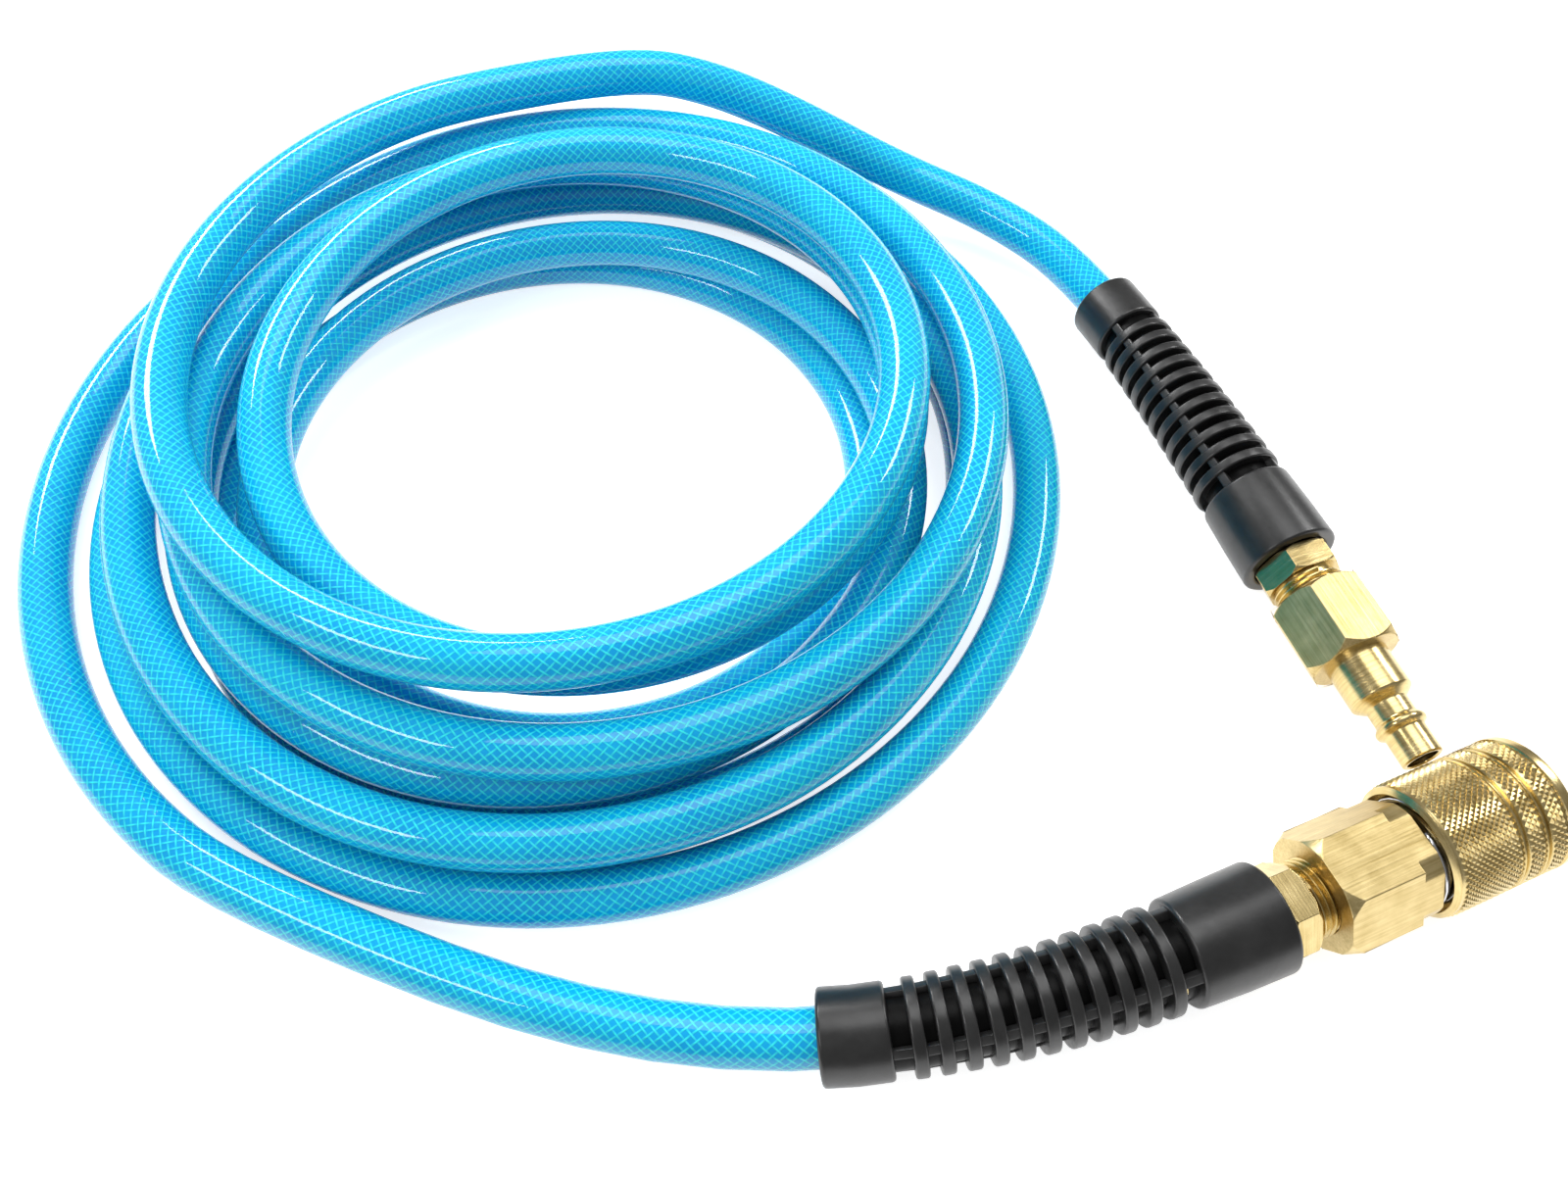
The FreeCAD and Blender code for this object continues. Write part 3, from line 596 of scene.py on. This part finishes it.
stem = {
    "hexFlats": 14.3, "hexLength": 5.5, "chamfer": 0.8,
    "threadRadius": 6.85, "threadEnd": 17.5, "rootRadius": 6.15, "rootTaper": 0.3,
    "threadPitch": 1.1, "threadCrest": 0.12, "threadSteps": 40, "relief": 1.0,
    "bore": 2.2,
    # barbs inside the hose
    "tail": [
        (-21.2, 2.9), (-16.2, 3.6), (-16.2, 3.25), (-11.2, 3.6), (-11.2, 3.25), (-6.2, 3.6), (-6.2, 3.25), (0.2, 3.25),
    ],
}


def stemPiece(name):
    s = stem
    bar = hexBar(name, 0, s["hexLength"], s["hexFlats"])
    corner = cornerOf(s["hexFlats"])
    limit = lathe("limit", [(0, corner - s["chamfer"]), (s["chamfer"], corner),
                            (s["hexLength"] - s["chamfer"], corner),
                            (s["hexLength"], corner - s["chamfer"])], fineSides, closed=False)
    carve(bar, limit, "INTERSECT")
    breakEdges(bar, 0.12)
    smooth(bar)
    tailStart, tailEnd = s["tail"][0][0], s["tail"][-1][0]
    core = lathe("core", [(tailStart, s["bore"])] + s["tail"] + [
        (tailEnd, s["rootRadius"]), (s["threadEnd"], s["rootRadius"] - s["rootTaper"]), (s["threadEnd"], s["bore"])])
    smooth(core)
    flank = s["threadPitch"] / 2 * 0.95
    height = s["rootTaper"] + (s["threadRadius"] - s["rootRadius"])
    ridge = [(-flank, 0.25), (-s["threadCrest"], height), (s["threadCrest"], height), (flank, 0.25), (0, 0)]
    thread = windRound("thread", s["hexLength"] + s["relief"] - 0.4, s["threadEnd"] - 0.6, s["threadPitch"],
                       s["rootRadius"] - s["rootTaper"], ridge, s["threadSteps"])
    smooth(thread, 40, weighted=False)
    return joinAll([bar, core, thread], name)


couplerHex = {
    "start": 9.0, "end": 27.2, "flats": 20.0, "turnedRadius": 10.6, "turnedLength": 4.0,
    "rearRadius": 10.3, "rearLength": 2.3, "rearChamfer": 1.1,
    "boreRear": 6.8, "boreFront": 8.65, "boreStep": 20.0,
}


def couplerHexPiece():
    h = couplerHex
    corner = cornerOf(h["flats"])
    bar = hexBar("couplerHex", h["start"], h["end"], h["flats"])
    step = h["end"] - h["turnedLength"]
    limit = lathe("limit", [(h["start"], h["rearRadius"] - h["rearChamfer"]), (h["start"], h["rearRadius"]),
                            (h["start"] + h["rearLength"], corner), (step, corner), (step, h["turnedRadius"]),
                            (h["end"], h["turnedRadius"])], fineSides, closed=False)
    carve(bar, limit, "INTERSECT")
    bore = lathe("bore", [(h["start"] - 1, h["boreRear"]), (h["boreStep"], h["boreRear"]),
                          (h["boreStep"], h["boreFront"]), (h["end"] + 1, h["boreFront"])], closed=False)
    carve(bar, bore)
    breakEdges(bar, 0.14)
    smooth(bar)
    return bar


sleeve = {
    "start": 28.3, "front": 53.5, "rearRadius": 11.5, "radius": 12.2,
    "knurlsRound": 64, "knurlDepth": 0.34,
    "bands": [(29.6, 41.6), (43.0, 46.3), (47.7, 51.2)],
    # between two bands: from the band's end, and down from the full radius
    "groove": [(0.12, 0.05), (0.3, 0.05), (0.5, 0.5), (0.9, 0.5), (1.1, 0.05), (1.28, 0.05)],
    "frontLand": 51.4,
    # the rounded front edge: back from the front, and down from the full radius
    "lip": [(1.0, 0), (0.45, 0.14), (0.12, 0.45), (0, 0.85)],
    "inside": [(50.1, 9.9), (50.1, 8.86), (48.7, 8.86), (48.7, 10.1), (44.9, 10.1), (42.75, 8.86), (37.0, 8.86),
               (37.0, 10.2), (31.9, 10.2), (31.9, 10.8)],
}


def sleevePiece():
    s = sleeve
    sides = s["knurlsRound"] * 2
    half = math.pi * s["radius"] / s["knurlsRound"]          # half a diamond, along
    floor = s["radius"] - s["knurlDepth"]
    start, rear = s["start"], s["rearRadius"]
    outside = [(start, rear - 0.6), (start + 0.25, rear - 0.2), (start + 0.7, floor)]
    rows = []
    for begin, finish in s["bands"]:
        count = int((finish - begin) / half)
        pitch = (finish - begin) / count
        for k in range(count + 1):
            outside.append((begin + k * pitch, floor))
            if 0 < k < count:
                rows.append((begin + k * pitch, k))
        if finish < s["bands"][-1][1]:
            outside += [(finish + along, s["radius"] - down) for along, down in s["groove"]]
    outside.append((s["frontLand"], s["radius"]))
    outside += [(s["front"] - back, s["radius"] - down) for back, down in s["lip"]]
    inside = [(s["front"], 10.1), (s["front"] - 0.2, 9.9)] + s["inside"] + [(start, s["inside"][-1][1])]
    obj = lathe("sleeve", outside + inside, sides)
    # every second point of the knurled rows stands up, so that the grooves run crosswise between them
    pick(obj)
    for part in (obj.data.polygons, obj.data.edges, obj.data.vertices):
        for each in part:
            each.select = False
    raised = 0
    for v in obj.data.vertices:
        if math.hypot(v.co.y, v.co.z) < (floor - 0.01) * mm:
            continue
        for station, k in rows:
            if abs(v.co.x / mm - station) < 0.02:
                spoke = round(math.atan2(v.co.y, v.co.z) / (2 * math.pi) * sides)
                v.select = (spoke + k) % 2 == 1
                raised += v.select
    print("knurl points raised:", raised)
    bpy.ops.object.mode_set(mode="EDIT")
    grow = s["radius"] / floor
    bpy.ops.transform.resize(value=(1, grow, grow), center_override=(0, 0, 0))
    bpy.ops.mesh.select_all(action="SELECT")
    bpy.ops.mesh.quads_convert_to_tris(quad_method="SHORTEST_DIAGONAL")
    bpy.ops.object.mode_set(mode="OBJECT")
    smooth(obj, 18, weighted=False)
    return obj


plug = {
    "hexStart": 9.0, "hexEnd": 24.0, "flats": 17.0, "rearChamfer": 1.2, "frontChamfer": 1.6,
    "seatRadius": 6.8, "seatDepth": 9.5, "seatCone": 11.5, "bore": 2.9,
    "barrelRadius": 5.95, "barrelLength": 8.5, "barrelChamfer": 0.45,
    "noseRadius": 3.875, "tipRadius": 3.65, "tip": 46.0,
    # neck and collar, ahead of the hex
    "neck": [
        (10.2, 4.0), (13.3, 4.0), (13.8, 4.2), (14.2, 4.65), (14.6, 4.85), (15.1, 4.85), (15.5, 4.65), (15.9, 4.1),
    ],
}


def plugPiece():
    p = plug
    corner, bevelled = cornerOf(p["flats"]), p["flats"] / 2
    bar = hexBar("plugNipple", p["hexStart"], p["hexEnd"], p["flats"])
    limit = lathe("limit", [(p["hexStart"], bevelled), (p["hexStart"] + p["rearChamfer"], corner),
                            (p["hexEnd"] - p["frontChamfer"], corner), (p["hexEnd"], bevelled)],
                  fineSides, closed=False)
    carve(bar, limit, "INTERSECT")
    carve(bar, lathe("seat", [(p["hexStart"] - 1, p["seatRadius"]), (p["hexStart"] + p["seatDepth"], p["seatRadius"]),
                              (p["hexStart"] + p["seatCone"], p["bore"]), (p["hexEnd"] + 1, p["bore"])], closed=False))
    breakEdges(bar, 0.14)
    smooth(bar)
    stub, tip = p["hexEnd"], p["tip"]
    nose = lathe("nose", [
        (stub - 2, p["bore"]), (stub - 2, p["barrelRadius"]), (stub, p["barrelRadius"]),
        (stub + p["barrelLength"], p["barrelRadius"]),
        (stub + p["barrelLength"] + 0.5, p["barrelRadius"] - p["barrelChamfer"]),
        *[(stub + ahead, radius) for ahead, radius in p["neck"]],
        (stub + 16.3, p["noseRadius"]), (tip - 0.3, p["noseRadius"]), (tip, p["tipRadius"]),
        (tip, p["bore"] + 0.2), (tip - 0.2, p["bore"])], fineSides)
    breakEdges(nose, 0.15, 2, 40)
    smooth(nose)
    paint(bar, brass["plug"]["drawn"])
    paint(nose, brass["plug"]["turned"])
    return joinAll([bar, nose], "plugNipple")


barrel = {
    "front": 52.5, "radius": 8.8, "socket": 6.02, "mouth": 6.8,
    # its rear, the groove of the snap ring, and the inside from the guide stretch back
    "rear": [(21.5, 6.6), (21.5, 8.6), (27.2, 8.6)],
    "ringGroove": (50.05, 51.15, 8.2),
    "inside": [(45.3, 6.2), (37.7, 6.2), (37.7, 4.15), (36.5, 4.15), (36.5, 6.6)],
}
# ball holes narrow inwards, so that the balls can't fall into the socket
balls = {
    "count": 4, "firstAngle": 45, "plane": 43.25, "out": 6.84, "radius": 1.97, "cuts": 11,
    "holeInner": 1.92, "holeOuter": 2.07, "holeDepth": 5, "holeOut": 7.5, "holeSides": 40,
}


def ballAngle(k):
    return math.radians(balls["firstAngle"] + 360 // balls["count"] * k)


def barrelPiece():
    b = barrel
    grooveStart, grooveEnd, grooveRadius = b["ringGroove"]
    guideEnd = b["inside"][0][0]
    obj = lathe("couplerBarrel", b["rear"] + [
        (b["rear"][-1][0], b["radius"]), (grooveStart, b["radius"]), (grooveStart, grooveRadius),
        (grooveEnd, grooveRadius), (grooveEnd, b["radius"]), (b["front"] - 0.3, b["radius"]),
        (b["front"], b["radius"] - 0.3), (b["front"], b["mouth"]), (b["front"] - 0.8, b["socket"]),
        (guideEnd, b["socket"])] + b["inside"], fineSides)
    for k in range(balls["count"]):
        letGo()
        out = Vector((0, math.cos(ballAngle(k)), math.sin(ballAngle(k))))
        bpy.ops.mesh.primitive_cone_add(vertices=balls["holeSides"], radius1=balls["holeInner"] * mm,
                                        radius2=balls["holeOuter"] * mm, depth=balls["holeDepth"] * mm,
                                        location=Vector((balls["plane"] * mm, 0, 0)) + out * balls["holeOut"] * mm,
                                        rotation=out.to_track_quat("Z", "Y").to_euler())
        drill = bpy.context.object
        settle(drill)
        carve(obj, drill)
    smooth(obj)
    return obj


for end, fitting in (("coupler", couplerEnd), ("plug", plugEnd)):
    made = stemPiece(end + "Stem")
    setOnFitting(made, fitting)
    paint(made, brass[end]["turned"])
    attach(made, "hose")
    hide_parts(end + "_stem")
print("stems done")

hexPiece = couplerHexPiece()
setOnFitting(hexPiece, couplerEnd)
paint(hexPiece, brass["coupler"]["drawn"])
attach(hexPiece, "hose")
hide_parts("coupler_hex")

sleeveObj = sleevePiece()
setOnFitting(sleeveObj, couplerEnd)
paint(sleeveObj, brass["coupler"]["turned"])
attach(sleeveObj, "sleeve")
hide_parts("coupler_sleeve")

barrelObj = barrelPiece()
setOnFitting(barrelObj, couplerEnd)
paint(barrelObj, brass["coupler"]["turned"])
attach(barrelObj, "hose")
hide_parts("coupler_barrel")

plugObj = plugPiece()
setOnFitting(plugObj, plugEnd)
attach(plugObj, "hose")
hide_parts("plug_nipple")
print("coupler and plug bodies done")


# steel and rubber inside the coupler

def steelMaterial():
    made, tree, shader = newMaterial("springSteel", Metallic=1.0, Roughness=0.22)
    space = tree.nodes.new("ShaderNodeTexCoord").outputs["Object"]
    cloud = noiseOn(tree, space, 700.0, 3.0)
    greys = [(0.3, (0.42, 0.42, 0.43)), (0.7, (0.66, 0.66, 0.68))]
    tree.links.new(ramp(tree, cloud, greys), shader.inputs["Base Color"])
    tree.links.new(calc(tree, "MULTIPLY_ADD", cloud, 0.2, 0.12), shader.inputs["Roughness"])
    return made


def sealMaterial():
    made, tree, shader = newMaterial("sealRubber", Roughness=0.6)
    space = tree.nodes.new("ShaderNodeTexCoord").outputs["Object"]
    cloud = noiseOn(tree, space, 1200.0, 4.0)
    greys = [(0.3, (0.012, 0.012, 0.012)), (0.7, (0.03, 0.03, 0.03))]
    tree.links.new(ramp(tree, cloud, greys), shader.inputs["Base Color"])
    bump = addNode(tree, "ShaderNodeBump", Height=cloud, Strength=0.15, Distance=0.0001)
    tree.links.new(bump.outputs["Normal"], shader.inputs["Normal"])
    return made


steel, rubber = steelMaterial(), sealMaterial()

springs = {
    "coupler_sleeve_spring": {
        "start": 27.75, "end": 36.45, "radius": 9.5, "wire": 0.48, "pitch": 2.2,
        "joint": "sleeve_slide", "keep": 0.63, "anchor": 27.25,
    },
    "coupler_valve_spring": {
        "start": 21.9, "end": 31.62, "radius": 3.65, "wire": 0.33, "pitch": 1.6,
        "joint": "valve_slide", "keep": 0.65, "anchor": 21.55,
    },
}
wireSides, wireSteps = 8, 28
for node, s in springs.items():
    corners = [2 * math.pi * k / wireSides for k in range(wireSides)]
    ring = [(s["wire"] * math.cos(a), s["wire"] * math.sin(a)) for a in corners]
    name = node.replace("coupler_", "").replace("_spring", "Spring")
    made = windRound(name, s["start"], s["end"], s["pitch"], s["radius"], ring, wireSteps)
    setOnFitting(made, couplerEnd)
    paint(made, steel)
    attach(made, "hose")
    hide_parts(node)
    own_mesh(made)

for k in range(balls["count"]):
    letGo()
    bpy.ops.mesh.primitive_cube_add(size=2 * mm)
    ball = bpy.context.object
    ball.name = "ball" + str(k + 1)
    bpy.ops.object.mode_set(mode="EDIT")
    bpy.ops.mesh.select_all(action="SELECT")
    bpy.ops.mesh.subdivide(number_cuts=balls["cuts"])
    bpy.ops.transform.tosphere(value=1.0)
    bpy.ops.object.mode_set(mode="OBJECT")
    for v in ball.data.vertices:
        v.co = v.co.normalized() * balls["radius"] * mm
    ball.location = (balls["plane"] * mm, balls["out"] * math.cos(ballAngle(k)) * mm,
                     balls["out"] * math.sin(ballAngle(k)) * mm)
    settle(ball)
    smooth(ball, 60, weighted=False)
    setOnFitting(ball, couplerEnd)
    paint(ball, steel)
    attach(ball, "ball_" + str(k + 1))
    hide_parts("coupler_ball_" + str(k + 1))

# pieces that the CAD already draws as they look
plainNodes = {
    "coupler_ferrule": brass["coupler"]["turned"], "plug_ferrule": brass["plug"]["turned"],
    "coupler_valve_guide": brass["coupler"]["turned"], "coupler_valve_poppet": brass["coupler"]["turned"],
    "coupler_socket_seal": rubber, "coupler_snap_ring": steel,
}
for node, material in plainNodes.items():
    paint(nodes[node], material)
print("inner pieces done")

bpy.data.objects.remove(routeObj)


# floor, light and background

studio = {
    "ambient": 0.36, "mirrored": 0.30, "floorColour": 0.86, "floorGlow": 0.75, "floorSize": 6.0, "floorDrop": 0.0001,
    "strips": [
        # place, aim, width and height, watts
        ((-0.45, 0.60, 0.60), (-0.05, 0.0, 0.0), (0.50, 0.15), 5.0),
        ((0.60, 0.35, 0.55), (0.05, 0.0, 0.0), (0.35, 0.12), 2.4),
        ((-0.55, -0.35, 0.70), (0.0, -0.05, 0.0), (0.45, 0.10), 2.2),
    ],
    "overhead": ((0.05, 0.25, 1.1), (0.0, 0.0, 0.0), (0.7, 0.7), 4.6),
}


def aimed(place, target):
    return (Vector(place) - Vector(target)).to_track_quat("Z", "Y").to_euler()


for place, target, (width, height), watts in studio["strips"] + [studio["overhead"]]:
    bpy.ops.object.light_add(type="AREA", location=place, rotation=aimed(place, target))
    lamp = bpy.context.object.data
    lamp.shape = "RECTANGLE"
    lamp.size, lamp.size_y = width, height
    lamp.energy = watts

letGo()
bpy.ops.mesh.primitive_plane_add(size=studio["floorSize"], location=(0, 0, -studio["floorDrop"]))
floorObj = bpy.context.object
floorObj.name = "floor"
settle(floorObj)


floorMaterial, tree, shader = newMaterial("paleFloor", Roughness=0.9, Specular_IOR_Level=0.1)
shade = studio["floorColour"]
shader.inputs["Base Color"].default_value = (shade, shade, shade, 1)
shader.inputs["Emission Color"].default_value = (1, 1, 1, 1)
# the floor glows where it is seen or mirrored, and lights nothing
rays = tree.nodes.new("ShaderNodeLightPath").outputs
mirrored = calc(tree, "MAXIMUM", rays["Is Glossy Ray"], rays["Is Transmission Ray"])
seen = calc(tree, "MAXIMUM", rays["Is Camera Ray"], mirrored)
tree.links.new(calc(tree, "MULTIPLY", seen, studio["floorGlow"]), shader.inputs["Emission Strength"])
paint(floorObj, floorMaterial)

world = bpy.data.worlds.new("studioWorld")
world.use_nodes = True
bpy.context.scene.world = world
tree = world.node_tree
# white to the camera, dimmer as light and dimmest in reflections
rays = tree.nodes.new("ShaderNodeLightPath").outputs
direct = calc(tree, "MAXIMUM", rays["Is Camera Ray"], rays["Is Transmission Ray"])
seen = calc(tree, "MULTIPLY_ADD", direct, 1.0 - studio["ambient"], studio["ambient"])
strength = calc(tree, "MULTIPLY_ADD", rays["Is Glossy Ray"], studio["mirrored"] - studio["ambient"], seen)
tree.links.new(strength, tree.nodes["Background"].inputs["Strength"])
tree.nodes["Background"].inputs["Color"].default_value = (1, 1, 1, 1)
bpy.context.scene.view_settings.view_transform = "Standard"
print("studio done")
